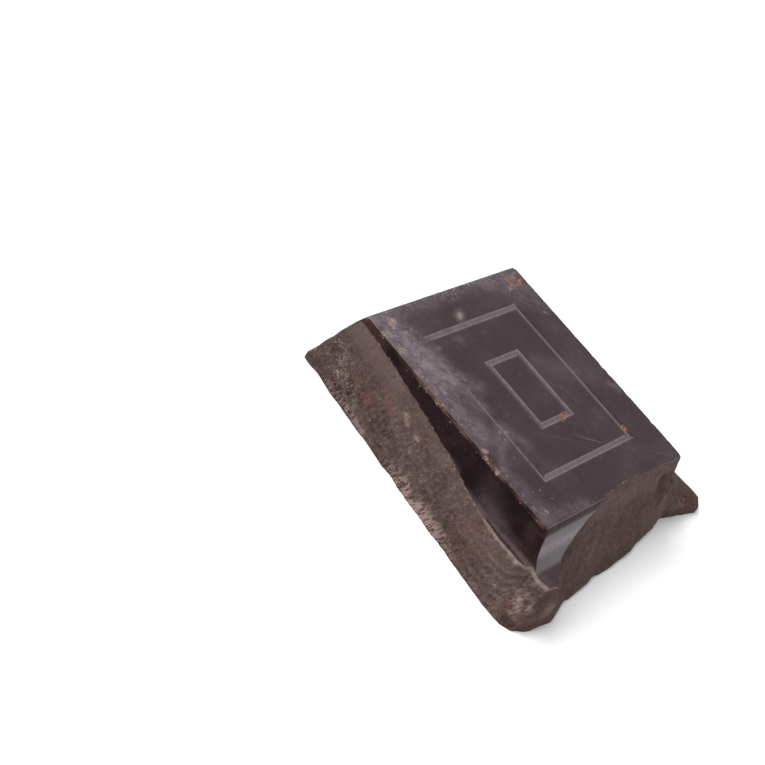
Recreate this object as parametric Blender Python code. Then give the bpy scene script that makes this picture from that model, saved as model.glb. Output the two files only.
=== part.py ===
"""A piece broken off a thick slab of moulded dark chocolate, as one solid.

Metres, +Z up. The origin is on the flat underside, below the middle of the moulded block's top face.
X runs across the block's short way and Y along its long way, away from the front break.
The block keeps its whole top face, with two plain nested rectangles sunk into it.
The slab has snapped on all four sides: close under the block at the left and the back, through the
valley in front, where a lump of the valley stays on, and out in a long thin apron at the right.
"""
import math

import bmesh
import bpy
from mathutils import Vector, noise

# Slab and block, in millimetres
MM = 0.001
THICKNESS = 15.0
BLOCK_HALF_X = 15.2
BLOCK_HALF_Y = 16.9
WALL_RUN_X = 0.13
WALL_RUN_Y = 0.42
VALLEY_HEIGHT = 9.7
EDGE_BLEND = 0.5
CORNER_BLEND = 2.0
VALLEY_BLEND = 2.4

# Grooves sunk into the top: half sizes of each rectangle, along the middle of its groove
OUTER_GROOVE = (9.4, 11.3)
INNER_GROOVE = (3.15, 5.15)
GROOVE_HALF_WIDTH = 0.44
GROOVE_WALL = 0.24
GROOVE_DEPTH = 0.18

# Block of slab that the piece is broken out of
SLAB_LOW = (-19.5, -26.0)
SLAB_HIGH = (36.0, 26.0)
UNDERSIDE_LINES_X = (-6.0, 12.0, 24.0)
UNDERSIDE_LINES_Y = (-11.0, 9.0)
OPEN_GRID_STEP = 3.6
WALL_STEPS = (-0.25, 0.3, 0.8, 1.6, 2.6, 3.6, 4.6, 5.6, 6.4, 7.4, 9.0)

# Break: where its faces pass at the underside, at the valley and at the top, corner by corner,
# and how hollow the face is between the first two
WAIST_HEIGHT = 9.0
RIM_HEIGHT = 1.1
FLAT = 1.0
HOLLOW = 1.7
BREAK_CORNERS = (
    # left face, from the back to the front
    ((-11.8, 22.2), (-14.1, 19.3), (-15.6, 17.0), FLAT),
    ((-12.8, 12.0), (-14.4, 11.8), (-15.7, 11.6), FLAT),
    ((-13.9, 1.5), (-15.1, 1.5), (-16.1, 1.5), FLAT),
    ((-14.7, -7.0), (-15.7, -7.0), (-16.5, -7.0), FLAT),
    ((-15.2, -13.5), (-16.4, -13.5), (-17.4, -13.5), FLAT),
    ((-15.5, -17.0), (-16.4, -17.0), (-17.2, -17.0), FLAT),
    ((-15.5, -19.0), (-15.7, -19.0), (-16.4, -19.2), FLAT),
    # lump of the valley at the front left corner
    ((-15.4, -20.4), (-15.6, -20.6), (-16.2, -20.9), FLAT),
    ((-14.6, -21.9), (-15.3, -21.6), (-15.9, -22.2), FLAT),
    ((-11.9, -23.0), (-13.9, -22.3), (-14.2, -23.0), FLAT),
    ((-8.0, -23.2), (-12.8, -21.4), (-9.0, -19.8), FLAT),
    ((-3.6, -22.0), (-11.3, -19.4), (-3.2, -16.9), FLAT),
    # front face
    ((1.0, -21.6), (-4.5, -18.0), (-2.4, -16.6), FLAT),
    ((6.0, -21.3), (2.0, -17.5), (1.4, -16.1), FLAT),
    ((11.0, -21.1), (8.5, -17.7), (7.5, -16.4), FLAT),
    ((17.0, -20.1), (14.2, -17.6), (13.8, -16.8), FLAT),
    ((23.3, -19.1), (16.6, -18.6), (16.2, -16.9), HOLLOW),
    # apron at the right, from its spur to the back
    ((30.1, -20.7), (17.5, -18.2), (17.0, -16.9), HOLLOW),
    ((32.1, -19.4), (17.8, -16.9), (17.2, -16.4), HOLLOW),
    ((31.9, -14.2), (17.6, -13.4), (17.3, -13.3), HOLLOW),
    ((28.2, -2.5), (17.2, -2.5), (17.2, -2.5), HOLLOW),
    ((26.6, 10.5), (17.2, 9.5), (17.2, 9.0), HOLLOW),
    ((25.2, 21.4), (17.2, 18.8), (17.0, 17.5), HOLLOW),
    # back face
    ((14.0, 22.6), (13.0, 19.4), (12.0, 17.4), FLAT),
    ((0.5, 21.7), (0.0, 18.8), (-1.0, 17.3), FLAT),
)
BREAK_STEP = 1.2
BREAK_TOP = 17.0
BREAK_BOTTOM = -1.3
BREAK_ROWS = 15

# Roughness of the break: size of its lumps and how far they stand in or out
RELIEF = (
    (5.0, 0.30),
    (2.0, 0.16),
)
RELIEF_SEED = Vector((3.7, 11.2, 5.9))

# Edges shorter than this are closed up
SHORTEST_EDGE = 0.04

CHOCOLATE_COLOUR = (0.030, 0.020, 0.021, 1.0)
CHOCOLATE_ROUGHNESS = 0.42


def clear_scene():
    for thing in list(bpy.data.objects):
        bpy.data.objects.remove(thing, do_unlink=True)


def smooth_min(a, b, blend):
    """Lower of two heights, with the corner between them rounded."""
    nearness = max(blend - abs(a - b), 0.0) / blend
    return min(a, b) - nearness * nearness * blend / 4.0


def smooth_max(a, b, blend):
    """Higher of two heights, with the corner between them filled."""
    return -smooth_min(-a, -b, blend)


def groove_depth(x, y, half_sizes):
    """Depth of one rectangular groove at a place on the top face."""
    off_middle = abs(max(abs(x) - half_sizes[0], abs(y) - half_sizes[1]))
    rise = (GROOVE_HALF_WIDTH - off_middle) / GROOVE_WALL
    return GROOVE_DEPTH * min(max(rise, 0.0), 1.0)


def mould_height(x, y):
    """Height of the moulded face: the block, its side walls and the valley round it."""
    wall_x = THICKNESS - (abs(x) - BLOCK_HALF_X) / WALL_RUN_X
    wall_y = THICKNESS - (abs(y) - BLOCK_HALF_Y) / WALL_RUN_Y
    block = smooth_min(smooth_min(wall_x, wall_y, CORNER_BLEND), THICKNESS, EDGE_BLEND)
    surface = smooth_max(block, VALLEY_HEIGHT, VALLEY_BLEND)
    return surface - groove_depth(x, y, OUTER_GROOVE) - groove_depth(x, y, INNER_GROOVE)


def grid_lines(low, high, half, wall_run, groove_middles):
    """Places of the grid's lines along one axis: close at walls and grooves, wide where it is flat."""
    lines = [low, high]
    for side in (-1.0, 1.0):
        lines += [side * (half + wall_run * depth) for depth in WALL_STEPS]
        for middle in groove_middles:
            inner = GROOVE_HALF_WIDTH - GROOVE_WALL
            for offset in (-GROOVE_HALF_WIDTH, -inner, inner, GROOVE_HALF_WIDTH):
                lines.append(side * (middle + offset))
    lines = sorted(line for line in lines if low <= line <= high)
    filled = [lines[0]]
    for line in lines[1:]:
        gap = line - filled[-1]
        parts = max(1, math.ceil(gap / OPEN_GRID_STEP))
        start = filled[-1]
        filled += [start + gap * part / parts for part in range(1, parts + 1)]
    return filled


def add_grid(bm, xs, ys, height):
    """Grid of vertices over the lines, as rows of vertices along Y."""
    return [[bm.verts.new((x * MM, y * MM, height(x, y) * MM)) for x in xs] for y in ys]


def skin_grid(bm, rows, facing_up):
    for near, far in zip(rows, rows[1:]):
        for column in range(len(near) - 1):
            corners = [near[column], near[column + 1], far[column + 1], far[column]]
            bm.faces.new(corners if facing_up else corners[::-1])


def rim(rows):
    """The outermost vertices of a grid, as its four sides in order."""
    front = rows[0]
    right = [row[-1] for row in rows]
    back = rows[-1][::-1]
    left = [row[0] for row in rows][::-1]
    return front, right, back, left


def slab_mesh():
    """Closed block of slab: the moulded face on top, flat sides and a flat underside."""
    bm = bmesh.new()
    xs = grid_lines(SLAB_LOW[0], SLAB_HIGH[0], BLOCK_HALF_X, WALL_RUN_X,
                    (OUTER_GROOVE[0], INNER_GROOVE[0]))
    ys = grid_lines(SLAB_LOW[1], SLAB_HIGH[1], BLOCK_HALF_Y, WALL_RUN_Y,
                    (OUTER_GROOVE[1], INNER_GROOVE[1]))
    top = add_grid(bm, xs, ys, mould_height)
    skin_grid(bm, top, True)
    under_xs = [SLAB_LOW[0], *UNDERSIDE_LINES_X, SLAB_HIGH[0]]
    under_ys = [SLAB_LOW[1], *UNDERSIDE_LINES_Y, SLAB_HIGH[1]]
    under = add_grid(bm, under_xs, under_ys, lambda x, y: 0.0)
    skin_grid(bm, under, False)
    for upper, lower in zip(rim(top), rim(under)):
        bm.faces.new(lower + upper[::-1])
    mesh = bpy.data.meshes.new("slab")
    bm.to_mesh(mesh)
    bm.free()
    return mesh


def relief(point):
    """How far the rough break stands out at a place, in millimetres."""
    total = 0.0
    for size, amount in RELIEF:
        total += amount * noise.noise(point / size + RELIEF_SEED)
    return total


def break_point(corner, height):
    """Place where one corner line of the break passes at a height."""
    bottom, waist, top, hollow = corner
    if height <= WAIST_HEIGHT:
        share = min(max((WAIST_HEIGHT - height) / (WAIST_HEIGHT - RIM_HEIGHT), 0.0), 1.0)
        return Vector(waist).lerp(Vector(bottom), share ** hollow)
    share = min((height - WAIST_HEIGHT) / (THICKNESS - WAIST_HEIGHT), 1.0)
    return Vector(waist).lerp(Vector(top), share)


def break_columns():
    """Pairs of neighbouring corners and the share of the way between them, all round the break."""
    columns = []
    for index, corner in enumerate(BREAK_CORNERS):
        following = BREAK_CORNERS[(index + 1) % len(BREAK_CORNERS)]
        length = (Vector(following[0]) - Vector(corner[0])).length
        parts = max(2, round(length / BREAK_STEP))
        columns += [(corner, following, part / parts) for part in range(parts)]
    return columns


def break_mesh():
    """Closed rough prism that has the break as its sides."""
    bm = bmesh.new()
    columns = break_columns()
    count = len(columns)
    rings = []
    for row in range(BREAK_ROWS + 1):
        height = BREAK_BOTTOM + (BREAK_TOP - BREAK_BOTTOM) * row / BREAK_ROWS
        smooth = [break_point(a, height).lerp(break_point(b, height), share) for a, b, share in columns]
        ring = []
        for index, place in enumerate(smooth):
            along = smooth[(index + 1) % count] - smooth[index - 1]
            outward = Vector((along.y, -along.x)).normalized()
            rough = place + outward * relief(Vector((place.x, place.y, height)))
            ring.append(bm.verts.new((rough.x * MM, rough.y * MM, height * MM)))
        rings.append(ring)
    for lower, upper in zip(rings, rings[1:]):
        for index in range(count):
            following = (index + 1) % count
            bm.faces.new((lower[index], lower[following], upper[following], upper[index]))
    bm.faces.new(rings[0][::-1])
    bm.faces.new(rings[-1])
    mesh = bpy.data.meshes.new("break_surface")
    bm.to_mesh(mesh)
    bm.free()
    return mesh


def chocolate_material():
    material = bpy.data.materials.new("dark_chocolate")
    material.use_nodes = True
    shader = material.node_tree.nodes["Principled BSDF"]
    shader.inputs["Base Color"].default_value = CHOCOLATE_COLOUR
    shader.inputs["Roughness"].default_value = CHOCOLATE_ROUGHNESS
    shader.inputs["Metallic"].default_value = 0.0
    return material


def add_object(name, mesh):
    thing = bpy.data.objects.new(name, mesh)
    bpy.context.scene.collection.objects.link(thing)
    return thing


def build_piece():
    """The slab, kept only inside the break."""
    break_surface = add_object("break_surface", break_mesh())
    break_surface.hide_render = True
    break_surface.display_type = "WIRE"
    piece = add_object("chocolate_piece", slab_mesh())
    piece.data.materials.append(chocolate_material())
    snap = piece.modifiers.new("snap", "BOOLEAN")
    snap.operation = "INTERSECT"
    snap.solver = "EXACT"
    snap.object = break_surface
    weld = piece.modifiers.new("weld", "WELD")
    weld.merge_threshold = SHORTEST_EDGE * MM
    return piece


def main():
    clear_scene()
    build_piece()


main()
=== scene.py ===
"""Looks of a piece broken off a thick slab of moulded dark chocolate.

The piece is modelled again at a fine grain, from the same named sizes as its plain solid, in millimetres
that are scaled to metres at the end. Moulded faces are satin and dark with a grey bloom, broken faces
are dull, brown and rough, and crumbs cling along the edges.
"""

import math
import random

import bmesh
import bpy
import numpy as np
from mathutils import Matrix, Vector, noise


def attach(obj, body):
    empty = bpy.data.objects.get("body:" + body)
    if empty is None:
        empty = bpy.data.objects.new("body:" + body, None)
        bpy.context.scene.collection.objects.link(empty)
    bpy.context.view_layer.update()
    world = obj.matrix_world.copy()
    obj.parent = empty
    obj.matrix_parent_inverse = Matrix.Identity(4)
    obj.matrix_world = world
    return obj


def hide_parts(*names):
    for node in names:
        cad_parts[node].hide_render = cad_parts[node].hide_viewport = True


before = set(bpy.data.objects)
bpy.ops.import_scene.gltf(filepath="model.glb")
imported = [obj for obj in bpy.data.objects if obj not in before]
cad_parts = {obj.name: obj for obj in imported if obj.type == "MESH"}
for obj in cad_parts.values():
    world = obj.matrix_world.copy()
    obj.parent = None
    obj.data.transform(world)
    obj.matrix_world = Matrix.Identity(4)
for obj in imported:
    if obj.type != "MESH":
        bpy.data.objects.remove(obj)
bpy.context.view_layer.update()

# Slab and block, in millimetres
MM = 0.001
THICKNESS = 15.0
BLOCK_HALF_X = 15.2
BLOCK_HALF_Y = 16.9
WALL_RUN_X = 0.13
WALL_RUN_Y = 0.42
VALLEY_HEIGHT = 9.7
EDGE_BLEND = 0.5
CORNER_BLEND = 2.0
VALLEY_BLEND = 2.4
OUTER_GROOVE = (9.4, 11.3)
INNER_GROOVE = (3.15, 5.15)
GROOVE_HALF_WIDTH = 0.44
GROOVE_WALL = 0.24
GROOVE_DEPTH = 0.18
SLAB_LOW = (-19.5, -26.0)
SLAB_HIGH = (36.0, 26.0)

# Break: where its faces pass at the underside, at the valley and at the top, corner by corner,
# and how hollow the face is between the first two
WAIST_HEIGHT = 9.0
RIM_HEIGHT = 1.1
FLAT = 1.0
HOLLOW = 1.7
BREAK_CORNERS = (
    # left face, from the back to the front
    ((-11.8, 22.2), (-14.1, 19.3), (-15.6, 17.0), FLAT),
    ((-12.8, 12.0), (-14.4, 11.8), (-15.7, 11.6), FLAT),
    ((-13.9, 1.5), (-15.1, 1.5), (-16.1, 1.5), FLAT),
    ((-14.7, -7.0), (-15.7, -7.0), (-16.5, -7.0), FLAT),
    ((-15.2, -13.5), (-16.4, -13.5), (-17.4, -13.5), FLAT),
    ((-15.5, -17.0), (-16.4, -17.0), (-17.2, -17.0), FLAT),
    ((-15.5, -19.0), (-15.7, -19.0), (-16.4, -19.2), FLAT),
    # lump of the valley at the front left corner
    ((-15.4, -20.4), (-15.6, -20.6), (-16.2, -20.9), FLAT),
    ((-14.6, -21.9), (-15.3, -21.6), (-15.9, -22.2), FLAT),
    ((-11.9, -23.0), (-13.9, -22.3), (-14.2, -23.0), FLAT),
    ((-8.0, -23.2), (-12.8, -21.4), (-9.0, -19.8), FLAT),
    ((-3.6, -22.0), (-11.3, -19.4), (-3.2, -16.9), FLAT),
    # front face
    ((1.0, -21.6), (-4.5, -18.0), (-2.4, -16.6), FLAT),
    ((6.0, -21.3), (2.0, -17.5), (1.4, -16.1), FLAT),
    ((11.0, -21.1), (8.5, -17.7), (7.5, -16.4), FLAT),
    ((17.0, -20.1), (14.2, -17.6), (13.8, -16.8), FLAT),
    ((23.3, -19.1), (16.6, -18.6), (16.2, -16.9), HOLLOW),
    # apron at the right, from its spur to the back
    ((30.1, -20.7), (17.5, -18.2), (17.0, -16.9), HOLLOW),
    ((32.1, -19.4), (17.8, -16.9), (17.2, -16.4), HOLLOW),
    ((31.9, -14.2), (17.6, -13.4), (17.3, -13.3), HOLLOW),
    ((28.2, -2.5), (17.2, -2.5), (17.2, -2.5), HOLLOW),
    ((26.6, 10.5), (17.2, 9.5), (17.2, 9.0), HOLLOW),
    ((25.2, 21.4), (17.2, 18.8), (17.0, 17.5), HOLLOW),
    # back face
    ((14.0, 22.6), (13.0, 19.4), (12.0, 17.4), FLAT),
    ((0.5, 21.7), (0.0, 18.8), (-1.0, 17.3), FLAT),
)
# Large relief of the break: size of its lumps and how far they stand in or out
RELIEF = ((5.0, 0.30), (2.0, 0.16))
RELIEF_SEED = Vector((3.7, 11.2, 5.9))
# Where the large relief is calmer, along the top of the left face
CALM_FROM = 6.5
CALM_RISE = 3.0
CALM_LEFT = -11.5
CALM_SHARE = 0.75

# Fine roughness of the break: size of its grains and how far they stand in or out
GRAIN = ((0.9, 0.050), (0.45, 0.028))
GRAIN_SEED = Vector((8.1, 2.6, 14.3))
SMOOTH_SHARE = 0.6
# Crumbly ridge at the top of the left face: how far below the moulded edge it is, and its half height
RIDGE_BELOW = 0.35
RIDGE_HALF_HEIGHT = 0.40
# How far flakes, pits, lumps, streaks and waves stand out or go in
FLAKE_OUT = 0.20
PIT_DEPTH = 0.24
LUMP_OUT = 0.42
SMALL_LUMP_OUT = 0.08
FRINGE_OUT = 0.13
WAVE_OUT = 0.045
SLANT_OUT = 0.05
# Middle of the curved waves at the front end of the left face, in Y and Z, and their pitch
WAVE_MIDDLE = (-14.0, 13.0)
WAVE_PITCH = 1.5
# Crease near the right end of the front face, from and to a place in X and Z
CREASE_TOP = Vector((13.9, 11.4))
CREASE_FOOT = Vector((17.4, 5.2))
CREASE_DEPTH = 0.34
CREASE_WIDTH = 0.75
# Lip under the bitten upper edge of the front face
LIP_HEIGHT = 14.0
LIP_MIDDLE = 6.5
LIP_OUT = 0.10
# The moulded surface beside the spur is torn in front of and below these places
SPUR_BACK = -15.6
SPUR_TOP = 12.0
# Chips of the block's rubbed upper edges
CHIP_DEPTH = 0.30
CHIP_LIMIT = 0.11

# Fineness of the mesh
OPEN_STEP = 0.34
WALL_STEP = 0.30
VALLEY_STEP = 0.22
FAR_STEP = 1.5
BREAK_STEP = 0.23
BREAK_ROW = 0.23
BREAK_TOP = 15.8
BREAK_BOTTOM = -0.6
UNDERSIDE_STEP = 2.5
FINE_VALLEY = 3.0
WELD_DISTANCE = 0.012
SLIVER_LENGTH = 0.004
SHARP_ANGLE = math.radians(38.0)

# Material slots of the piece; the last is a darker, less glossy copy of the moulded chocolate on the
# block's left wall, which is painted shade
MOULDED, BROKEN, POURED, SHADED_WALL = range(4)


def on_top(*strokes):
    """Strokes on the top face, whose places are given in X and Y alone."""
    return tuple(
        ((*start, THICKNESS), (*end, THICKNESS), half_width, strength)
        for start, end, half_width, strength in strokes
    )


# Marks on the surface. Each is a stroke from one place to another, with its half width and strength.

# Grey bloom on the top face
BLOOM_STROKES = on_top(
    ((-14.0, 16.0), (-13.2, 7.0), 5.2, 0.74),
    ((-12.6, 12.5), (-11.4, 5.5), 3.6, 0.75),
    ((-14.0, 7.0), (-13.6, -3.0), 3.4, 0.62),
    ((-12.0, 9.0), (-7.6, 3.0), 2.0, 0.42),
    ((-10.6, 4.6), (-9.6, 0.0), 2.0, 0.34),
    ((-14.6, -8.4), (-9.5, -3.2), 1.5, 0.36),
    ((-9.4, -3.4), (-7.6, -6.6), 1.4, 0.28),
    ((-14.4, -9.0), (-13.8, -16.0), 2.6, 0.30),
    ((-13.4, -15.4), (-7.0, -16.6), 1.8, 0.32),
    ((-14.2, 16.6), (14.0, 16.6), 2.6, 0.50),
    ((8.2, 16.4), (14.6, 13.4), 3.4, 0.42),
    ((10.0, 12.6), (14.6, 10.0), 2.2, 0.28),
    ((5.0, 3.0), (14.5, -4.0), 2.4, 0.13),
    ((13.7, -3.8), (14.4, -4.8), 1.1, 0.40),
    ((-1.4, 12.2), (-0.8, 13.1), 1.1, 0.60),
    ((-4.9, 9.8), (-4.3, 9.4), 1.0, 0.34),
    ((-8.9, 9.9), (-8.3, 9.6), 0.9, 0.28),
    ((7.3, -6.4), (7.6, -7.2), 1.4, 0.14),
)
# Fine scratches
SCRATCH_STROKES = on_top(
    ((-1.5, -6.6), (11.0, -16.0), 3.6, 1.0),
    ((-9.0, 4.0), (-5.5, -1.0), 2.2, 0.8),
)
# Rubbed crumbly places of the top face
WEAR_STROKES = on_top(
    ((-14.6, 14.0), (-13.7, 13.7), 1.0, 0.9),
    ((-12.8, 14.7), (-11.4, 15.3), 0.9, 0.9),
    ((-14.4, 11.6), (-13.6, 10.3), 1.2, 0.7),
    ((-14.4, 9.5), (-14.6, 0.0), 1.0, 0.3),
    ((-14.9, -4.6), (-14.5, -5.4), 0.8, 1.0),
    ((-14.5, -14.1), (-14.3, -14.0), 0.6, 0.4),
    ((-11.2, -14.3), (-10.9, -13.8), 0.6, 0.5),
    ((-12.6, -12.2), (-11.4, -12.6), 0.9, 0.15),
    ((13.2, 9.0), (13.8, 8.8), 0.6, 0.6),
    ((14.2, 8.5), (14.4, 8.3), 0.6, 0.6),
    ((-1.0, 12.6), (-0.8, 13.0), 0.5, 0.8),
)
# Orange-brown chips
RUST_STROKES = (
    ((11.4, 14.0, 15.0), (14.2, 14.5, 15.0), 0.9, 1.0),
    ((12.0, 15.3, 15.0), (14.2, 15.9, 15.0), 0.6, 0.8),
    ((1.2, -5.2, 15.0), (2.2, -5.2, 15.0), 1.0, 0.8),
    ((9.2, -9.9, 15.0), (9.4, -10.2, 15.0), 0.9, 0.7),
    ((-13.1, 14.9, 3.6), (-13.0, 15.6, 2.9), 0.7, 0.7),
    ((22.8, -19.5, 3.9), (23.8, -19.6, 3.5), 1.5, 0.9),
    ((25.6, -19.7, 2.6), (26.6, -19.8, 2.2), 1.6, 1.0),
)
# Broken places that are evenly lighter than others
LIGHT_STROKES = (
    ((-15.2, 17.5, 13.0), (-15.4, 9.0, 12.2), 4.4, 0.26),
    ((-15.4, 3.0, 11.0), (-16.4, -6.0, 9.0), 3.0, 0.14),
    ((-15.8, -8.0, 7.0), (-15.8, -17.0, 5.5), 5.0, 0.16),
    ((-1.0, -17.6, 12.0), (14.0, -17.8, 11.4), 5.0, 0.36),
    ((15.8, -17.9, 9.8), (20.0, -18.9, 3.6), 1.5, 0.65),
    ((-3.0, -19.6, 8.0), (8.0, -19.0, 8.0), 4.5, 0.12),
    ((-12.4, -22.8, 5.0), (-10.2, -22.6, 4.0), 1.8, 0.30),
    ((-15.4, -20.0, 5.2), (-15.4, -20.6, 3.4), 0.8, 0.40),
    ((-15.0, -21.2, 6.2), (-14.9, -21.5, 4.8), 0.8, 0.40),
    ((-14.4, 9.0, 8.4), (-15.0, 2.0, 6.6), 2.6, 0.16),
)
# Dusty pale, reddish and dark places of the break; several of the dark places are painted shade
PALE_STROKES = (
    ((-14.2, 18.4, 9.0), (-13.0, 17.0, 4.0), 3.0, 0.22),
    ((-13.6, 15.0, 8.0), (-13.4, 13.0, 5.0), 2.2, 0.22),
    ((-12.4, 16.2, 3.0), (-12.6, 9.0, 1.4), 2.0, 0.28),
    ((-14.8, 5.1, 9.6), (-14.8, 4.9, 8.6), 1.1, 1.00),
    ((-14.9, 2.5, 8.8), (-14.9, 2.5, 8.2), 1.1, 0.95),
    ((-14.9, -2.0, 1.0), (-15.0, -6.6, 0.9), 2.0, 0.75),
    ((-14.6, -0.4, 2.6), (-14.6, -0.4, 0.6), 1.0, 0.40),
    ((-15.2, -6.5, 1.0), (-15.4, -12.5, 0.8), 1.3, 0.35),
    ((-15.0, 3.0, 11.6), (-16.8, -10.0, 9.8), 1.3, 0.32),
    ((-15.2, -20.0, 5.5), (-15.0, -20.8, 2.8), 1.5, 0.55),
    ((-15.6, -18.4, 2.6), (-15.6, -18.8, 0.6), 1.2, 0.50),
    ((0.0, -17.9, 10.8), (0.7, -18.1, 9.8), 0.8, 0.60),
    ((24.6, -19.7, 2.9), (26.4, -19.8, 2.1), 0.9, 0.90),
    ((-12.6, -22.6, 4.2), (-11.6, -22.8, 3.2), 1.6, 0.50),
    ((2.0, -16.3, 14.6), (12.0, -17.0, 14.4), 0.9, 0.35),
)
REDDISH_STROKES = (
    ((-14.2, 8.6, 8.2), (-14.1, 7.6, 7.6), 1.6, 0.95),
    ((-13.6, 14.0, 5.6), (-13.6, 10.5, 5.4), 2.4, 0.65),
    ((-14.8, 3.5, 9.6), (-14.8, 1.5, 9.0), 1.6, 0.35),
    ((-15.6, -9.5, 8.0), (-15.4, -10.5, 2.0), 3.0, 0.35),
    ((15.6, -17.9, 9.8), (19.8, -18.9, 3.6), 1.6, 0.95),
    ((24.0, -18.8, 4.4), (30.0, -19.6, 2.0), 2.4, 0.70),
    ((-14.0, -22.2, 2.0), (-10.0, -23.0, 1.0), 2.4, 0.90),
    ((-15.5, -18.9, 3.4), (-15.5, -19.9, 2.4), 1.4, 0.90),
    ((-15.0, -21.6, 3.6), (-13.6, -22.3, 2.6), 1.6, 0.60),
    ((4.0, -18.8, 6.0), (10.0, -19.5, 4.0), 3.0, 0.35),
)
# Dark places. Painted shade: the first at the left end of the front face, the second in the crease, the
# eighth and ninth where the block shades the spur, and the last along the foot of the front face. The
# rest are dark patches.
DARK_AND_SHADE_STROKES = (
    ((-8.4, -19.6, 8.0), (-4.2, -17.6, 12.0), 2.6, 0.55),
    ((13.9, -17.2, 11.4), (17.2, -18.7, 5.4), 1.1, 1.00),
    ((-14.4, 6.6, 6.0), (-14.2, 6.8, 4.8), 1.0, 0.25),
    ((-13.6, 14.6, 5.2), (-13.5, 14.4, 4.8), 0.7, 0.90),
    ((-13.0, 14.0, 2.9), (-13.0, 13.8, 2.7), 0.6, 0.90),
    ((-13.6, 12.4, 6.0), (-13.6, 12.3, 5.8), 0.6, 0.90),
    ((-14.6, -21.4, 6.4), (-12.0, -22.6, 5.8), 2.2, 0.50),
    ((23.0, -18.4, 5.4), (31.0, -20.0, 2.0), 2.6, 0.60),
    ((17.6, -17.6, 10.4), (21.6, -18.2, 6.4), 1.2, 0.90),
    ((-15.2, -20.4, 1.0), (-11.5, -22.9, 1.2), 2.0, 0.60),
    ((-4.0, -21.5, 1.5), (14.0, -20.5, 1.5), 2.6, 0.35),
)
# Torn flakes and pits, and the lumpy end of the piece of valley
FLAKE_STROKES = (
    ((-13.3, 18.6, 6.6), (-12.9, 17.0, 3.4), 2.2, 0.9),
    ((-12.6, 17.2, 1.6), (-12.7, 14.6, 1.2), 1.7, 0.7),
    ((-13.4, 15.4, 4.8), (-13.3, 12.6, 3.9), 1.8, 0.7),
    ((-14.4, 6.8, 7.3), (-14.3, 5.8, 7.0), 1.1, 0.5),
    ((-15.1, -21.3, 6.6), (-12.8, -22.7, 4.4), 1.6, 0.5),
)
LUMPY_STROKES = (
    ((-15.4, -20.8, 5.5), (-12.4, -22.8, 4.5), 3.4, 1.0),
    ((-15.0, -21.0, 2.5), (-10.5, -23.0, 2.0), 3.4, 0.8),
)
# Haze on the block's left wall, at any X
WALL_PATCHES = (
    ((0.0, -8.6, 12.8), (0.0, -11.2, 11.0), 2.8, 0.10),
    ((0.0, -8.6, 11.2), (0.0, -12.4, 10.8), 1.5, 0.13),
    ((0.0, -9.4, 10.6), (0.0, -15.4, 10.4), 1.4, 0.16),
    ((0.0, -3.2, 10.9), (0.0, -4.2, 10.7), 0.9, 0.20),
)
# Where the break is smoother than elsewhere
SMOOTH_STROKES = (
    ((-15.0, 17.0, 12.0), (-15.2, 9.5, 11.0), 4.4, 0.85),
    ((-15.4, 6.0, 11.0), (-16.4, -6.0, 8.6), 2.4, 0.4),
    ((-16.0, -11.0, 7.0), (-16.0, -17.0, 6.8), 4.0, 0.5),
    ((-2.0, -17.6, 12.6), (13.0, -17.6, 12.0), 4.4, 0.8),
)
# Pale pinkish streaky places
PINK_STROKES = (
    ((-12.0, -22.8, 4.6), (-10.2, -22.6, 3.8), 1.5, 0.8),
    ((-15.4, -20.0, 5.2), (-15.5, -20.6, 3.0), 0.9, 0.7),
    ((-15.1, -21.2, 6.4), (-14.9, -21.5, 4.8), 0.8, 0.7),
    ((-12.5, 16.8, 0.8), (-13.2, 9.0, 0.8), 1.0, 0.7),
)
# Reddish-brown strip of the block's wall
RUDDY_STROKES = (
    ((-15.3, 17.0, 14.4), (-15.5, 13.6, 14.2), 2.2, 0.9),
    ((-15.5, 9.0, 13.6), (-15.6, 0.0, 12.0), 2.6, 0.20),
    ((-15.4, -15.6, 13.6), (-15.4, -16.6, 11.0), 1.5, 0.5),
)
# Where the break is rougher than elsewhere
TORN_STROKES = (
    ((-13.4, 18.2, 6.6), (-13.2, 13.0, 4.2), 3.2, 0.7),
    ((-12.6, 17.0, 1.8), (-12.8, 12.0, 1.6), 2.2, 0.6),
    ((-15.4, -19.8, 4.4), (-12.0, -22.8, 3.5), 3.0, 0.9),
)
# Crumbly ridge at the top of the left face
RIDGE_STROKES = (
    ((-16.0, -6.5, 10.4), (-17.0, -12.0, 9.8), 1.4, 0.6),
    ((-17.0, -12.0, 9.8), (-17.0, -19.4, 9.6), 1.6, 1.0),
    ((-16.8, -19.0, 9.5), (-15.6, -21.8, 9.3), 1.6, 1.0),
)
# Rubbed bare patches of the top face, and the part of a groove that is filled with bloom
BARE_STROKES = on_top(
    ((-14.7, 13.9), (-14.2, 13.6), 1.1, 1.0),
    ((-12.7, 14.8), (-12.0, 15.0), 1.1, 1.0),
    ((-14.4, 11.0), (-14.2, 10.4), 1.1, 1.0),
    ((-14.8, -4.8), (-14.5, -5.2), 0.8, 0.9),
    ((-1.3, 12.6), (-0.8, 13.0), 0.9, 0.8),
    ((13.4, 9.0), (13.8, 8.8), 0.6, 0.8),
)
FILLED_STROKES = on_top(
    ((-9.4, 10.4), (-9.4, 4.6), 2.0, 0.85),
)
# Height from which the block's upper edges are rubbed
EDGE_FOOT = 14.2
# Names of the marks, by which the materials read them
MARKS = (
    "bloom", "veil_and_reflection", "scratch", "wear", "rust", "filled", "ruddy", "dull", "bare", "rim",
    "pale", "reddish", "dark", "curl", "hollow", "crumbly", "mottled", "light", "fringe",
)
# Thin haze of the moulded walls everywhere, and the strength and height of a pale band across the front
# slope, which is painted reflection
THIN_VEIL = 0.02
SLOPE_REFLECTION = 0.94
SLOPE_REFLECTION_HEIGHT = 12.0


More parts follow.
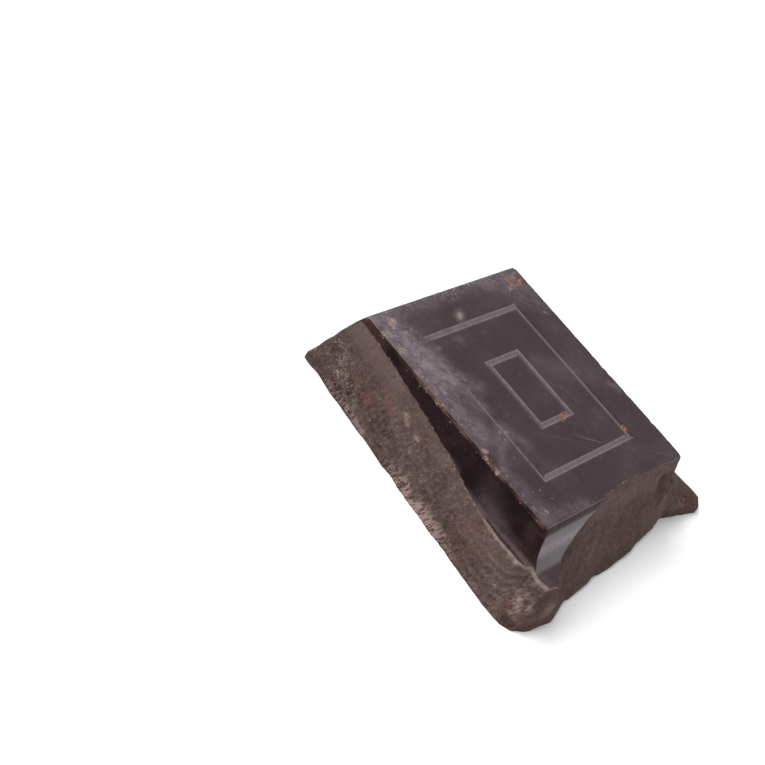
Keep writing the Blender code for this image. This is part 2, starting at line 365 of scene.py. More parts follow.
def smooth_min(a, b, blend):
    """Lower of two heights, with the corner between them rounded."""
    closeness = max(blend - abs(a - b), 0.0) / blend
    return min(a, b) - closeness * closeness * blend / 4.0


def smooth_max(a, b, blend):
    """Higher of two heights, with the corner between them filled."""
    return -smooth_min(-a, -b, blend)


def groove_depth(x, y, half_sizes):
    """Depth of one rectangular groove at a place on the top face."""
    off_middle = abs(max(abs(x) - half_sizes[0], abs(y) - half_sizes[1]))
    rise = (GROOVE_HALF_WIDTH - off_middle) / GROOVE_WALL
    return GROOVE_DEPTH * min(max(rise, 0.0), 1.0)


def mould_height(x, y):
    """Height of the moulded face: the block, its side walls and the valley round it."""
    wall_x = THICKNESS - (abs(x) - BLOCK_HALF_X) / WALL_RUN_X
    wall_y = THICKNESS - (abs(y) - BLOCK_HALF_Y) / WALL_RUN_Y
    block = smooth_min(smooth_min(wall_x, wall_y, CORNER_BLEND), THICKNESS, EDGE_BLEND)
    surface = smooth_max(block, VALLEY_HEIGHT, VALLEY_BLEND)
    return surface - groove_depth(x, y, OUTER_GROOVE) - groove_depth(x, y, INNER_GROOVE)


def stepped(start, end, step):
    """Even steps from start to end, both included."""
    parts = max(1, round((end - start) / step))
    return [start + (end - start) * part / parts for part in range(parts + 1)]


def grid_lines(low, high, half, wall_run, groove_middles):
    """Places of the grid's lines along one axis: close at walls and grooves, wider where it is flat."""
    edge = wall_run * EDGE_BLEND
    foot = half + wall_run * (THICKNESS - VALLEY_HEIGHT + VALLEY_BLEND / 2)
    valley = foot + FINE_VALLEY
    inner = GROOVE_HALF_WIDTH - GROOVE_WALL
    groove_offsets = (-GROOVE_HALF_WIDTH, -inner, inner, GROOVE_HALF_WIDTH)
    lines = [low, high]
    for side in (-1.0, 1.0):
        marks = stepped(half - edge, foot, wall_run * WALL_STEP) + stepped(foot, valley, VALLEY_STEP)
        for middle in groove_middles:
            marks += [middle + offset for offset in groove_offsets]
        lines += [side * mark for mark in marks]
    lines = sorted({round(line, 4) for line in lines if low <= line <= high})
    filled = [lines[0]]
    for line in lines[1:]:
        step = OPEN_STEP if abs(line) <= half else FAR_STEP
        start = filled[-1]
        parts = max(1, math.ceil((line - start) / step - 1e-6))
        filled += [start + (line - start) * part / parts for part in range(1, parts + 1)]
    return filled


def add_grid(bm, xs, ys, height):
    """Grid of vertices over the lines, as rows of vertices along Y."""
    return [[bm.verts.new((x, y, height(x, y))) for x in xs] for y in ys]


def skin_grid(bm, rows, facing_up, material):
    """Faces between the rows of a grid."""
    for near, far in zip(rows, rows[1:]):
        for column in range(len(near) - 1):
            corners = [near[column], near[column + 1], far[column + 1], far[column]]
            face = bm.faces.new(corners if facing_up else corners[::-1])
            face.material_index = material


def finished_mesh(bm, name):
    """The mesh of a bmesh, which is freed."""
    mesh = bpy.data.meshes.new(name)
    bm.to_mesh(mesh)
    bm.free()
    return mesh


def add_object(name, data):
    """An object in the scene."""
    thing = bpy.data.objects.new(name, data)
    bpy.context.scene.collection.objects.link(thing)
    return thing


def rim(rows):
    """The outermost vertices of a grid, as its four sides in order."""
    return rows[0], [row[-1] for row in rows], rows[-1][::-1], [row[0] for row in rows][::-1]


def slab_mesh():
    """Closed block of slab: the moulded face on top, flat sides and a flat underside."""
    bm = bmesh.new()
    groove_xs, groove_ys = zip(OUTER_GROOVE, INNER_GROOVE)
    xs = grid_lines(SLAB_LOW[0], SLAB_HIGH[0], BLOCK_HALF_X, WALL_RUN_X, groove_xs)
    ys = grid_lines(SLAB_LOW[1], SLAB_HIGH[1], BLOCK_HALF_Y, WALL_RUN_Y, groove_ys)
    top = add_grid(bm, xs, ys, mould_height)
    skin_grid(bm, top, True, MOULDED)
    under_xs = stepped(SLAB_LOW[0], SLAB_HIGH[0], UNDERSIDE_STEP)
    under_ys = stepped(SLAB_LOW[1], SLAB_HIGH[1], UNDERSIDE_STEP)
    under = add_grid(bm, under_xs, under_ys, lambda x, y: 0.0)
    skin_grid(bm, under, False, POURED)
    for upper, lower in zip(rim(top), rim(under)):
        bm.faces.new(lower + upper[::-1])
    return finished_mesh(bm, "slab")


def octaves(point, sizes, seed):
    """Sum of smooth noise, one part for each size and amount."""
    return sum(amount * noise.noise(point / size + seed) for size, amount in sizes)


def ease(value):
    """Soft step from 0 to 1, flat at both ends."""
    value = min(max(value, 0.0), 1.0)
    return value * value * (3.0 - 2.0 * value)


def bell(distance, width):
    """1 at no distance, falling softly to nothing past the width."""
    return math.exp(-((distance / width) ** 2))


def off_line(point, start, end):
    """Distance of a place from the straight line between two others."""
    along = end - start
    share = min(max((point - start).dot(along) / max(along.length_squared, 1e-9), 0.0), 1.0)
    return (point - start - along * share).length


def nearness(point, strokes):
    """Strength of the strokes at a place, each fading to nothing at its half width."""
    missing = 1.0
    for start, end, half_width, strength in strokes:
        distance = off_line(point, Vector(start), Vector(end))
        missing *= 1.0 - strength * ease(1.0 - distance / half_width)
    return 1.0 - missing


def curl(point):
    """Thin winding ridges that lean a little, as torn flakes leave them, 1 on a ridge."""
    bend = 0.5 * noise.noise(point / 1.3)
    across = (point.y + 0.5 * point.z) / 0.9 + bend
    along = (point.z - 0.5 * point.y) / 1.7
    broken = ease(0.55 + 1.6 * noise.noise(point / 0.9 + RELIEF_SEED))
    return broken * max(0.0, 1.0 - abs(noise.noise(Vector((across, along, 3.1)))) / 0.16)


def fringe(point):
    """How strongly the foot of the left face is torn into upright streaks, from 0 to 1."""
    left = ease((-12.0 - point.x) / 1.0)
    return left * ease((3.0 - point.z) / 1.8) * ease(1.6 - abs(point.y + 3.0) / 5.5)


def ridge_detail(point, below):
    """Crumbly ridge just under the moulded edge, at a place some way below it."""
    ridge = nearness(point, RIDGE_STROKES) * bell(below - RIDGE_BELOW, RIDGE_HALF_HEIGHT)
    if ridge < 0.01:
        return 0.0
    return ridge * (0.14 + 0.26 * noise.noise(point / 0.7 + RELIEF_SEED))


def flake_detail(point):
    """Torn flakes and pits."""
    torn = nearness(point, FLAKE_STROKES)
    if torn == 0.0:
        return 0.0
    pit = ease(noise.noise(point / 0.8 + GRAIN_SEED) * 3.0 - 0.9)
    return torn * (FLAKE_OUT * curl(point) - PIT_DEPTH * pit - 0.05)


def lump_detail(point, below):
    """Lumpy end of the piece of valley at the front left corner, except right under the moulded edge."""
    lumpy = nearness(point, LUMPY_STROKES) * ease((below - 0.2) / 1.2)
    if lumpy == 0.0:
        return 0.0
    large = LUMP_OUT * noise.noise(point / 1.7 + GRAIN_SEED)
    return lumpy * (large + SMALL_LUMP_OUT * noise.noise(point / 0.6 + RELIEF_SEED))


def left_detail(point):
    """Short upright streaks where the left face tore free of the underside, and waves at its front."""
    streak = noise.noise(Vector((point.y / 0.34, point.z / 2.4, 7.7)))
    radius = math.hypot(point.y - WAVE_MIDDLE[0], point.z - WAVE_MIDDLE[1])
    wave = math.sin(math.tau * radius / WAVE_PITCH + 2.2 * noise.noise(point / 2.2))
    waved = ease(1.5 - abs(point.y + 16.0) / 3.5)
    return fringe(point) * FRINGE_OUT * streak + waved * WAVE_OUT * wave


def front_detail(point):
    """Slanting streaks of the front face, its crease and the lip under the bitten edge."""
    across = (0.78 * point.x + 0.62 * point.z) / 0.5
    along = (0.62 * point.x - 0.78 * point.z) / 5.0
    streak = SLANT_OUT * noise.noise(Vector((across, along, 1.3)))
    off_crease = off_line(Vector((point.x, point.z)), CREASE_TOP, CREASE_FOOT)
    lip = ease((point.z - LIP_HEIGHT) / 0.25) * ease(1.5 - abs(point.x - LIP_MIDDLE) / 6.0)
    return streak - CREASE_DEPTH * bell(off_crease, CREASE_WIDTH) + LIP_OUT * lip


def break_detail(point, outward):
    """How far the fine roughness of the break stands out at a place, in millimetres."""
    below = mould_height(point.x, point.y) - point.z
    left = ease(-outward.x * 1.6 - 0.4)
    front = ease(-outward.y * 1.6 - 0.4)
    out = octaves(point, GRAIN, GRAIN_SEED) * (1.0 - SMOOTH_SHARE * nearness(point, SMOOTH_STROKES))
    out += ridge_detail(point, below) + flake_detail(point) + lump_detail(point, below)
    return out + left * left_detail(point) + front * front_detail(point)


def calm(point):
    """Share of the large relief that is kept: little along the top of the left face, else all of it."""
    high = ease((point.z - CALM_FROM) / CALM_RISE)
    left = ease((CALM_LEFT - point.x) / CALM_RISE)
    return 1.0 - CALM_SHARE * high * left


def break_point(corner, height):
    """Place where one corner line of the break passes at a height."""
    bottom, waist, top, hollow = corner
    if height <= WAIST_HEIGHT:
        share = min(max((WAIST_HEIGHT - height) / (WAIST_HEIGHT - RIM_HEIGHT), 0.0), 1.0)
        return Vector(waist).lerp(Vector(bottom), share ** hollow)
    share = min((height - WAIST_HEIGHT) / (THICKNESS - WAIST_HEIGHT), 1.0)
    return Vector(waist).lerp(Vector(top), share)


def break_columns():
    """Pairs of neighbouring corners and the share of the way between them, all round the break."""
    columns = []
    for index, corner in enumerate(BREAK_CORNERS):
        following = BREAK_CORNERS[(index + 1) % len(BREAK_CORNERS)]
        length = (Vector(following[0]) - Vector(corner[0])).length
        parts = max(2, round(length / BREAK_STEP))
        columns += [(corner, following, part / parts) for part in range(parts)]
    return columns


def break_mesh():
    """Closed rough prism that has the break as its sides."""
    bm = bmesh.new()
    columns = break_columns()
    count = len(columns)
    rings = []
    for height in stepped(BREAK_BOTTOM, BREAK_TOP, BREAK_ROW):
        smooth = [
            break_point(corner, height).lerp(break_point(following, height), share)
            for corner, following, share in columns
        ]
        ring = []
        for index, place in enumerate(smooth):
            along = smooth[(index + 1) % count] - smooth[index - 1]
            outward = Vector((along.y, -along.x)).normalized()
            point = Vector((place.x, place.y, height))
            large = octaves(point, RELIEF, RELIEF_SEED) * calm(point)
            rough = place + outward * (large + break_detail(point, outward))
            ring.append(bm.verts.new((rough.x, rough.y, height)))
        rings.append(ring)
    for lower, upper in zip(rings, rings[1:]):
        for index in range(count):
            following = (index + 1) % count
            face = bm.faces.new((lower[index], lower[following], upper[following], upper[index]))
            face.material_index = BROKEN
    bm.faces.new(rings[0][::-1])
    bm.faces.new(rings[-1])
    return finished_mesh(bm, "break_surface")


def snapped_mesh(materials):
    """The slab cut to the break, as one closed mesh in millimetres."""
    slab = add_object("slab", slab_mesh())
    break_surface = add_object("break_surface", break_mesh())
    for thing in (slab, break_surface):
        for material in materials:
            thing.data.materials.append(material)
    snap = slab.modifiers.new("snap", "BOOLEAN")
    snap.operation = "INTERSECT"
    snap.solver = "MANIFOLD"
    snap.object = break_surface
    mesh = bpy.data.meshes.new_from_object(slab.evaluated_get(bpy.context.evaluated_depsgraph_get()))
    for thing in (slab, break_surface):
        data = thing.data
        bpy.data.objects.remove(thing)
        bpy.data.meshes.remove(data)
    bm = bmesh.new()
    bm.from_mesh(mesh)
    bmesh.ops.remove_doubles(bm, verts=bm.verts, dist=WELD_DISTANCE)
    bmesh.ops.dissolve_degenerate(bm, edges=bm.edges, dist=SLIVER_LENGTH)
    bm.to_mesh(mesh)
    bm.free()
    return mesh


def edge_wear(point):
    """How much of the block's upper edge is rubbed off at a place, from 0 to 1."""
    left = ease(1.0 - abs(point.x + BLOCK_HALF_X) / 0.7)
    back = ease(1.0 - abs(point.y - BLOCK_HALF_Y) / 0.6)
    front = ease(1.0 - abs(point.y + BLOCK_HALF_Y) / 0.5)
    right = ease(1.0 - abs(point.x - BLOCK_HALF_X) / 0.5)
    return ease((point.z - EDGE_FOOT) / 0.5) * max(left, 0.35 * max(back, front, right))


def edge_line(point):
    """How close a place is to the block's upper left edge, from 0 to 1."""
    off_left = abs(point.x + BLOCK_HALF_X + 0.03)
    return ease((point.z - EDGE_FOOT) / 0.3) * ease(1.0 - off_left / 0.26)


def patches(point):
    """Broad patches by which wear along the edges comes and goes."""
    return noise.noise(point / 2.6 + GRAIN_SEED)


def chip_depth(point):
    """How deep the rubbed upper edge is chipped at a place."""
    rough = noise.noise(point / 0.6 + GRAIN_SEED) + 0.35 * patches(point) - 0.12
    return min(CHIP_DEPTH * edge_wear(point) * max(0.0, rough), CHIP_LIMIT)


def pit_shade(vert):
    """How hollow the surface is at a vertex: 0 on a crest, 0.5 where it is even, 1 in a pit. The break's
    colour uses it as painted shade, darker in pits and lighter on crests.
    """
    neighbours = [edge.other_vert(vert).co for edge in vert.link_edges]
    around = sum(neighbours, Vector()) / len(neighbours)
    return min(max(0.5 + 8.0 * (around - vert.co).dot(vert.normal), 0.0), 1.0)


def beside_spur(point):
    """Whether a place on the moulded faces is torn, as it lies beside the spur."""
    ragged = noise.noise(point / 0.9)
    behind = point.y - SPUR_BACK
    above = point.z - SPUR_TOP
    return point.x > BLOCK_HALF_X + 0.3 and behind < 1.3 * ragged and above < 1.2 * ragged


def on_left_wall(face):
    """Whether a moulded face belongs to the block's left wall."""
    middle = face.calc_center_median()
    beside = -BLOCK_HALF_X - 1.6 < middle.x < -BLOCK_HALF_X + 0.1
    return beside and face.normal.x < -0.5 and middle.z < THICKNESS - 0.06


def moulded_marks(point, warped, normal):
    """Marks of a place on the moulded faces, most of them by its place with a ragged shift."""
    on_top_face = point.z > THICKNESS - 2.0 * GROOVE_DEPTH and normal.z > 0.5
    off_front = -BLOCK_HALF_Y - point.y
    front_edge = ease((off_front + 0.12) / 0.14) * ease((0.62 - off_front) / 0.30)
    return {
        "bloom": nearness(warped, BLOOM_STROKES) if on_top_face else 0.0,
        "veil_and_reflection": wall_veil_and_reflection(warped, normal),
        "scratch": nearness(warped, SCRATCH_STROKES),
        "filled": nearness(point, FILLED_STROKES),
        "ruddy": nearness(warped, RUDDY_STROKES),
        "dull": front_edge * ease((point.z - 13.4) / 0.5),
        "bare": nearness(point, BARE_STROKES),
    }


def broken_marks(point, warped, ridge):
    """Marks of a place on the broken faces, most of them by its place with a ragged shift."""
    rim_dust = ridge * bell(mould_height(point.x, point.y) - point.z - 0.40, 0.65)
    rough = 1.0 - nearness(warped, SMOOTH_STROKES)
    return {
        "pale": max(nearness(warped, PALE_STROKES), rim_dust),
        "reddish": nearness(warped, REDDISH_STROKES),
        "dark": nearness(warped, DARK_AND_SHADE_STROKES),
        "curl": nearness(point, FLAKE_STROKES) * curl(point),
        "mottled": 0.60 * rough + 0.50 * nearness(warped, TORN_STROKES),
        "light": nearness(warped, LIGHT_STROKES) + 0.8 * rim_dust,
        "fringe": max(fringe(point), nearness(warped, PINK_STROKES)),
    }


def marks_at(vert, slots):
    """Value of each mark at a vertex whose faces have the given material slots."""
    point = vert.co.copy()
    shift = Vector((noise.noise(point / 1.7), noise.noise(point / 1.7 + GRAIN_SEED), 0.0))
    warped = point + 0.55 * shift
    border = 1.0 if MOULDED in slots and BROKEN in slots else 0.0
    edge = edge_wear(point)
    ridge = nearness(point, RIDGE_STROKES)
    marks = {
        "rust": nearness(warped, RUST_STROKES),
        "rim": max(border, edge_line(point) * ease(0.7 + 0.8 * patches(point))),
        # Painted shade of the break: how hollow the vertex is
        "hollow": pit_shade(vert),
        "crumbly": max(border * (0.10 + 0.90 * ridge), 0.22 * edge),
    }
    if MOULDED in slots:
        rubbed = edge * ease(0.45 + 0.9 * patches(point))
        marks["wear"] = max(rubbed, nearness(warped, WEAR_STROKES), (0.25 + 0.75 * ridge) * border)
        marks |= moulded_marks(point, warped, vert.normal)
    if BROKEN in slots:
        marks |= broken_marks(point, warped, ridge)
    return marks


def shape_and_paint(mesh):
    """Chips the moulded edges, gives the block's left wall the darker copy of the moulded chocolate that
    is painted shade, and stores how bloomed, worn, pale, red or dark each place is.
    """
    bm = bmesh.new()
    bm.from_mesh(mesh)
    layers = {name: bm.verts.layers.float.new(name) for name in MARKS}
    for face in bm.faces:
        if face.material_index == MOULDED and beside_spur(face.calc_center_median()):
            face.material_index = BROKEN
    moves = []
    for vert in bm.verts:
        slots = {face.material_index for face in vert.link_faces}
        for name, value in marks_at(vert, slots).items():
            vert[layers[name]] = value
        if MOULDED in slots:
            moves.append((vert, vert.normal * -chip_depth(vert.co)))
    for face in bm.faces:
        # The block's left wall gets the darker copy of the moulded chocolate: painted shade
        if face.material_index == MOULDED and on_left_wall(face):
            face.material_index = SHADED_WALL
    for vert, move in moves:
        vert.co += move
    bmesh.ops.triangulate(bm, faces=[face for face in bm.faces if len(face.verts) > 4])
    bm.to_mesh(mesh)
    bm.free()


def wall_veil_and_reflection(point, normal):
    """How much of a thin even haze lies on the block's side walls and in the valley, from 0 to 1, with a
    pale band across the front slope that is painted reflection.
    """
    if point.z > THICKNESS - 0.3:
        return 0.0
    # Front slope: a pale band about its middle height, painted reflection laid on as grey haze
    if normal.y < -0.5:
        below_edge = ease((THICKNESS - 0.3 - point.z) / 0.8)
        width = 1.05 if point.z > SLOPE_REFLECTION_HEIGHT else 0.85
        return below_edge * (THIN_VEIL + SLOPE_REFLECTION * bell(point.z - SLOPE_REFLECTION_HEIGHT, width))
    if normal.x < -0.2 and point.z > VALLEY_HEIGHT + 0.1:
        foot = ease((10.7 - point.z) / 0.8) * ease((-5.0 - point.y) / 4.0)
        patch = nearness(Vector((0.0, point.y, point.z)), WALL_PATCHES)
        return max(0.30 * foot, 0.6 * patch)
    return THIN_VEIL


class Paint:
    """One material, with short ways to add and join its nodes. Lengths are in millimetres."""

    def __init__(self, name):
        self.material = bpy.data.materials.new(name)
        self.material.use_nodes = True
        self.tree = self.material.node_tree
        self.tree.nodes.clear()
        coordinates = self.add("TexCoord", {})
        self.place = self.vector("SCALE", coordinates.outputs["Object"], scale=1.0 / MM)

    def add(self, kind, inputs, **settings):
        """A node with its settings, and its inputs joined to sockets or marks or set to values."""
        node = self.tree.nodes.new("ShaderNode" + kind)
        for name, value in settings.items():
            setattr(node, name, value)
        for name, value in inputs.items():
            if isinstance(value, str):
                value = self.mark(value)
            if isinstance(value, bpy.types.NodeSocket):
                self.tree.links.new(value, node.inputs[name])
            else:
                node.inputs[name].default_value = value
        return node

    def vector(self, operation, a, b=(0.0, 0.0, 0.0), scale=None):
        """One step of vector arithmetic."""
        inputs = {0: a, 1: b} if scale is None else {0: a, "Scale": scale}
        node = self.add("VectorMath", inputs, operation=operation)
        return node.outputs["Value"] if operation == "DOT_PRODUCT" else node.outputs["Vector"]

    def math(self, operation, a, b=0.0, c=0.0, clamp=False):
        """One step of arithmetic, kept from 0 to 1 if clamped."""
        return self.add("Math", {0: a, 1: b, 2: c}, operation=operation, use_clamp=clamp).outputs[0]

    def times(self, a, b, clamp=False):
        return self.math("MULTIPLY", a, b, clamp=clamp)

    def times_plus(self, a, b, c, clamp=False):
        return self.math("MULTIPLY_ADD", a, b, c, clamp)

    def minus(self, a, b):
        return self.math("SUBTRACT", a, b)

    def larger(self, a, b):
        return self.math("MAXIMUM", a, b)

    def off(self, value, middle=0.0):
        """How far a value is from a middle one."""
        return self.math("ABSOLUTE", self.minus(value, middle) if middle else value)

    def steps(self, value, low, high, bottom=0.0, top=1.0):
        """Soft step of a value from bottom to top as it goes from low to high."""
        inputs = {"Value": value, "From Min": low, "From Max": high, "To Min": bottom, "To Max": top}
        return self.add("MapRange", inputs, interpolation_type="SMOOTHSTEP").outputs["Result"]

    def mix(self, share, a, b, most=1.0):
        """One colour laid over another by a share, which may be weakened."""
        if most < 1.0:
            share = self.times(share, most)
        return self.add("Mix", {"Factor": share, 6: a, 7: b}, data_type="RGBA").outputs[2]

    def mark(self, name):
        """A value stored at the mesh's vertices. Its name alone does as any input."""
        return self.add("Attribute", {}, attribute_name=name).outputs["Fac"]

    def stretched(self, direction, factor):
        """Places squeezed along a direction, so that a pattern on them is drawn out along it."""
        direction = tuple(Vector(direction).normalized())
        along = self.vector("DOT_PRODUCT", self.place, direction)
        offset = self.vector("SCALE", direction, scale=self.times(along, 1.0 / factor - 1.0))
        return self.vector("ADD", self.place, offset)

    def cloud(self, size, detail=2.0, roughness=0.5, distortion=0.0, place=None):
        """Noise of about 0 to 1 with lumps of the given size."""
        inputs = {"Detail": detail, "Roughness": roughness, "Distortion": distortion}
        inputs |= {"Vector": place or self.place, "Scale": 1.0 / size}
        return self.add("TexNoise", inputs).outputs["Fac"]

    def shaken(self, size, amount):
        """Places shifted to and fro, so that a pattern on them gets ragged outlines."""
        noise_node = self.add("TexNoise", {"Vector": self.place, "Scale": 1.0 / size})
        shift = self.vector("SUBTRACT", noise_node.outputs["Color"], (0.5, 0.5, 0.5))
        return self.vector("ADD", self.place, self.vector("SCALE", shift, scale=amount))

    def specks(self, spacing, radius, share, place=None):
        """Specks with a given spacing and radius, at a share of the places."""
        cells = self.add("TexVoronoi", {"Vector": place or self.place, "Scale": 1.0 / spacing})
        spot = self.steps(cells.outputs["Distance"], radius / spacing, 0.6 * radius / spacing)
        split = self.add("SeparateColor", {"Color": cells.outputs["Color"]})
        return self.times(spot, self.math("LESS_THAN", split.outputs["Red"], share))

    def crumbled(self, share):
        """Ragged specks of two sizes, the more of them the higher the share."""
        small = self.specks(0.32, 0.14, self.times(share, 0.65), self.shaken(0.20, 0.30))
        large = self.specks(0.80, 0.36, self.times(share, 0.35), self.shaken(0.30, 0.80))
        return self.larger(small, large)

    def bump(self, height, distance, normal=None):
        """Surface slope from a height of 0 to 1 that stands for a distance."""
        inputs = {"Strength": 1.0, "Distance": distance * MM, "Height": height}
        if normal is not None:
            inputs["Normal"] = normal
        return self.add("Bump", inputs).outputs["Normal"]

    def finish(self, colour, roughness, normal, specular):
        """The material, with its shader made from these parts."""
        inputs = {"Base Color": colour, "Roughness": roughness, "Normal": normal}
        shader = self.add("BsdfPrincipled", inputs | {"Specular IOR Level": specular})
        self.add("OutputMaterial", {"Surface": shader.outputs["BSDF"]})
        return self.material


# Colours, in linear light
MOULDED_DARK = (0.0225, 0.0112, 0.0144, 1.0)
MOULDED_WARM = (0.0285, 0.0145, 0.0165, 1.0)
# Darker colours of the left wall's copy of the moulded chocolate: painted shade
SHADED_WALL_DARK = (0.0045, 0.0019, 0.0022, 1.0)
SHADED_WALL_WARM = (0.0100, 0.0042, 0.0046, 1.0)
SHADED_WALL_GREY = (0.165, 0.118, 0.124, 1.0)
RUDDY = (0.032, 0.0145, 0.0145, 1.0)
BLOOM_GREY = (0.195, 0.165, 0.186, 1.0)
CHANNEL_GREY = (0.145, 0.115, 0.125, 1.0)
TAN = (0.270, 0.200, 0.170, 1.0)
RUST = (0.200, 0.092, 0.060, 1.0)
BROKEN_DARK = (0.020, 0.0112, 0.0100, 1.0)
BROKEN_MID = (0.069, 0.0450, 0.0413, 1.0)
BROKEN_PALE = (0.185, 0.142, 0.129, 1.0)
BROKEN_RED = (0.110, 0.048, 0.040, 1.0)
FRONT_BROWN = (0.095, 0.053, 0.047, 1.0)
BARE_TAN = (0.200, 0.148, 0.126, 1.0)
RIM_BROWN = (0.085, 0.044, 0.038, 1.0)
FRINGE_PINK = (0.235, 0.160, 0.146, 1.0)
# Strength of the moulded faces' reflections, in the open and on the block's left wall, where it is cut
# low as painted shade
MOULDED_GLOSS = 0.34
SHADED_WALL_GLOSS = 0.03


def groove_light(paint, half_sizes, long_band, long_line):
    """How light one rectangle's channel is: a grey band and two lighter lines on its walls that are
    painted highlight, weaker on its long sides.
    """
    place = paint.add("SeparateXYZ", {"Vector": paint.place})
    past_x = paint.minus(paint.off(place.outputs["X"]), half_sizes[0])
    past_y = paint.minus(paint.off(place.outputs["Y"]), half_sizes[1])
    past = paint.larger(past_x, past_y)
    near = paint.off(past)
    band = paint.steps(near, 0.48, 0.36)
    # Two lighter lines on the channel's walls: painted highlight
    highlight_rims = paint.steps(paint.off(near, 0.33), 0.14, 0.03)
    short = paint.times_plus(highlight_rims, 0.35, paint.times(band, 0.62))
    line = paint.steps(paint.off(past, 0.06), 0.26, 0.08)
    long = paint.times_plus(highlight_rims, long_band, paint.times(band, long_band))
    long = paint.times_plus(line, long_line, long)
    on_short = paint.steps(paint.minus(past_y, past_x), -0.1, 0.1)
    return paint.times_plus(on_short, paint.minus(short, long), long)


def channel_share(paint, fine):
    """How light the grooves' channels are, but for the stretch that bloom fills."""
    channel = paint.larger(
        groove_light(paint, OUTER_GROOVE, 0.0, 0.75),
        groove_light(paint, INNER_GROOVE, 0.42, 0.0),
    )
    channel = paint.times(channel, paint.minus(1.0, "filled"))
    return paint.times(channel, paint.steps(fine, 0.25, 0.75, 0.65, 1.1), clamp=True)


def haze_share(paint, fine, lumps, broad):
    """How grey the moulded face is: patchy bloom, the even haze of the walls with the front slope's
    painted reflection, and fine scratches.
    """
    drawn = paint.cloud(0.7, 4.0, 0.65, 1.6, paint.stretched((0.61, -0.79, 0.0), 3.5))
    patch = paint.times_plus(paint.steps(lumps, 0.36, 0.66), 0.34, 0.16)
    patch = paint.times_plus(paint.steps(drawn, 0.36, 0.68), 0.16, patch)
    patch = paint.times_plus(paint.steps(fine, 0.35, 0.70), 0.18, patch)
    haze = paint.times("bloom", patch, clamp=True)
    haze = paint.times_plus(paint.steps(broad, 0.42, 0.75, 0.2, 1.2), 0.05, haze)
    # Thin haze of the walls, with the band of painted reflection across the front slope
    even = paint.times("veil_and_reflection", paint.steps(fine, 0.2, 0.8, 0.85, 1.15))
    haze = paint.math("ADD", haze, even, clamp=True)
    scratches = paint.cloud(0.30, 1.0, 0.5, 0.0, paint.stretched((0.80, -0.60, 0.0), 30.0))
    scratch = paint.times(paint.steps(scratches, 0.60, 0.72), "scratch")
    return paint.times_plus(scratch, 0.20, haze, clamp=True)


def scattered(paint, colour, lumps, dark, grey):
    """A moulded face's colour with blotches, dots, scuffs, clots and specks strewn over it."""
    blotch = paint.specks(1.5, 0.34, 0.35, paint.shaken(0.5, 0.9))
    colour = paint.mix(paint.times(blotch, paint.steps("bloom", 0.05, 0.5, 0.05, 0.5)), colour, grey)
    dots = paint.times(paint.specks(0.5, 0.10, 0.45), paint.steps("bloom", 0.10, 0.5, 0.02, 0.45))
    colour = paint.mix(dots, colour, TAN)
    scuffs = paint.specks(0.55, 0.15, 0.30, paint.shaken(0.4, 0.8))
    scuffs = paint.times(scuffs, paint.steps(lumps, 0.38, 0.62))
    colour = paint.mix(scuffs, colour, grey, 0.16)
    clots = paint.steps(paint.cloud(0.9, 4.0, 0.7, 0.6), 0.50, 0.62)
    colour = paint.mix(clots, colour, dark, 0.30)
    specks = paint.times(paint.specks(0.8, 0.12, 0.40), paint.steps("bloom", 0.10, 0.5, 0.04, 0.55))
    return paint.mix(specks, colour, TAN)


def moulded_chocolate(name, dark, warm, grey, gloss):
    """Satin dark chocolate with grey bloom, rubbed edges, fine scratches and scattered specks."""
    paint = Paint(name)
    fine = paint.cloud(0.22, 3.0, 0.6)
    lumps = paint.cloud(1.2, 4.0, 0.65, 0.4)
    broad = paint.cloud(6.0, 2.0)
    haze = haze_share(paint, fine, lumps, broad)
    colour = paint.mix(paint.steps(broad, 0.3, 0.7), dark, warm)
    colour = paint.mix("ruddy", colour, RUDDY, 0.8)
    colour = paint.mix(haze, colour, grey)
    colour = paint.mix(channel_share(paint, fine), colour, CHANNEL_GREY)
    colour = scattered(paint, colour, lumps, dark, grey)
    ragged = paint.times_plus(fine, 0.9, paint.minus("bare", 0.45))
    bare = paint.times(paint.steps(ragged, 0.30, 0.85), paint.steps(lumps, 0.35, 0.60, 0.30, 0.72))
    colour = paint.mix(bare, colour, BARE_TAN)
    rim_share = paint.steps("rim", 0.35, 1.0)
    rim_share = paint.times(rim_share, paint.steps(lumps, 0.35, 0.6, 0.45, 0.85))
    colour = paint.mix(rim_share, colour, RIM_BROWN)
    colour = paint.mix("dull", colour, RUDDY, 0.75)
    worn = paint.crumbled("wear")
    colour = paint.mix(paint.times(worn, paint.steps(lumps, 0.3, 0.7, 0.25, 0.70)), colour, TAN)
    clumps = paint.steps(paint.cloud(0.5, 3.0, 0.6), 0.46, 0.56)
    clumps = paint.times(clumps, paint.steps("rust", 0.15, 0.6))
    rusty = paint.larger(clumps, paint.crumbled(paint.times("rust", 1.4)))
    colour = paint.mix(rusty, colour, RUST, 0.85)
    flaws = paint.larger(worn, rusty)
    roughness = paint.times_plus(haze, 0.30, 0.36)
    roughness = paint.times_plus(flaws, 0.35, roughness, clamp=True)
    normal = paint.bump(paint.times(fine, paint.times_plus(flaws, 1.5, 0.45)), 0.030)
    normal = paint.bump(lumps, 0.035, normal)
    shine = paint.times(paint.steps("dull", 0.0, 1.0, 1.0, 0.10), gloss)
    return paint.finish(colour, roughness, normal, shine)


